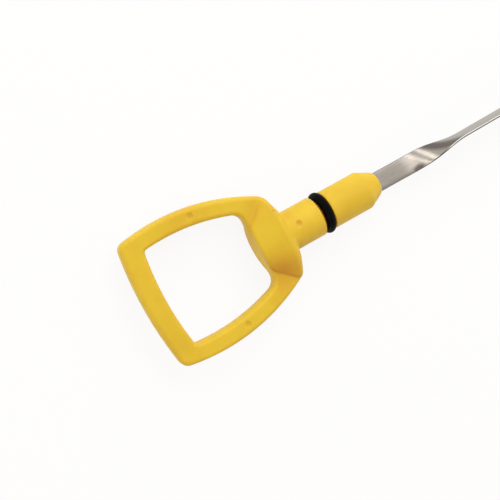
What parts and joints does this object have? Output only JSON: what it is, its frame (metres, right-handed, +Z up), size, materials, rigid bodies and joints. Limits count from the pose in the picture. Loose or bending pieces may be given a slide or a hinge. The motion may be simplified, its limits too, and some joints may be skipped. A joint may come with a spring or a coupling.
{
  "type": "engine oil dipstick",
  "caption": "Oil level dipstick with a moulded finger-loop handle, sealing plug with a rubber ring, and a flat steel blade with a quarter twist.",
  "frame": {"origin": "on the shaft axis, at the middle of the plug's straight land", "axes": "+X along the shaft towards the blade's tip, +Z up from the surface that the dipstick lies on, the loop's plane close to XY"},
  "size_m": [0.4516, 0.0432, 0.0137],
  "materials": {
    "handle": "satin moulded yellow",
    "o_ring": "smooth black",
    "blade": "fine drawn grain along the strip"
  },
  "bodies": {
    "root": {"handle": "handle", "o_ring": "o_ring", "blade": "blade"}
  },
  "joints": []
}
